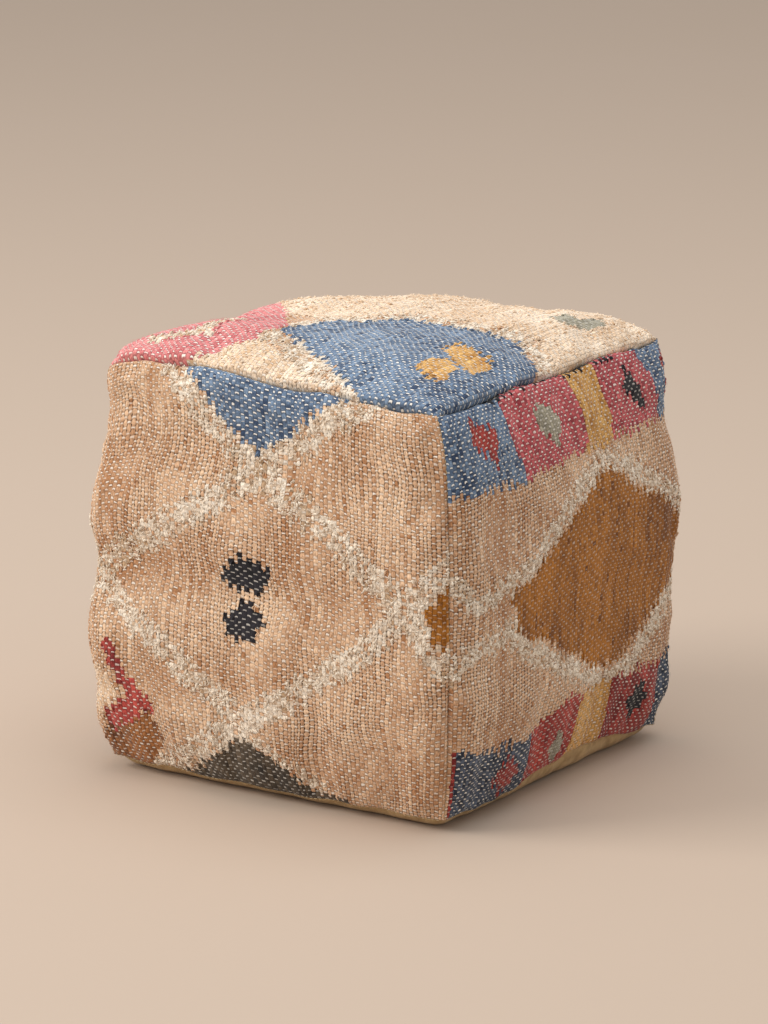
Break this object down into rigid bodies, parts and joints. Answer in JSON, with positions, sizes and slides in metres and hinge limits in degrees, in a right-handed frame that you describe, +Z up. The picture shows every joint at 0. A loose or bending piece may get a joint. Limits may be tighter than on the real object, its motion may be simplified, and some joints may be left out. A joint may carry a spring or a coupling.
{
  "type": "kilim pouf",
  "caption": "Square stuffed pouf with flat-woven kilim panels, a crowned top, a canvas base with a zip, and a lining bag of beads.",
  "frame": {"origin": "on the floor under the middle of the pouf", "axes": "+Z up, -Y towards the front panel, +X towards the right panel, along the base zip"},
  "size_m": [0.44, 0.44, 0.434],
  "materials": {
    "kilim": "handwoven jute and wool flat weave",
    "canvas": "plain cotton canvas",
    "lining": "thin white cotton",
    "thread": "twisted cotton sewing thread",
    "beads": "expanded polystyrene beads",
    "zip_tape": "woven tape",
    "zip_metal": "dull antique brass"
  },
  "bodies": {
    "cover": {"top_panel": "kilim", "front_panel": "kilim", "right_panel": "kilim", "back_panel": "kilim", "left_panel": "kilim", "base_cloth_front": "canvas", "base_cloth_rear": "canvas", "liner_top": "lining", "liner_wall": "lining", "liner_base": "lining", "top_seam_thread": "thread", "upright_seam_threads": "thread", "base_seam_thread": "thread", "zip_stitches": "thread", "liner_seam_threads": "thread", "bead_fill": "beads", "zip_tape_front": "zip_tape", "zip_tape_rear": "zip_tape", "zip_teeth_front": "zip_metal", "zip_teeth_rear": "zip_metal", "zip_top_stops": "zip_metal", "zip_bottom_stop": "zip_metal"},
    "slider": {"zip_slider": "zip_metal"},
    "pull": {"zip_pull": "zip_metal"}
  },
  "joints": [
    {"name": "zip_slide", "type": "slide", "parent": "cover", "child": "slider", "axis": [1, 0, 0], "range_m": [-0.28, 0], "deforming": ["zip_teeth_front", "zip_teeth_rear"]},
    {"name": "pull_swing", "type": "hinge", "parent": "slider", "child": "pull", "pos_m": [0.14285, 0, 0.00515], "axis": [0, -1, 0], "range_deg": [-5, 150]}
  ]
}
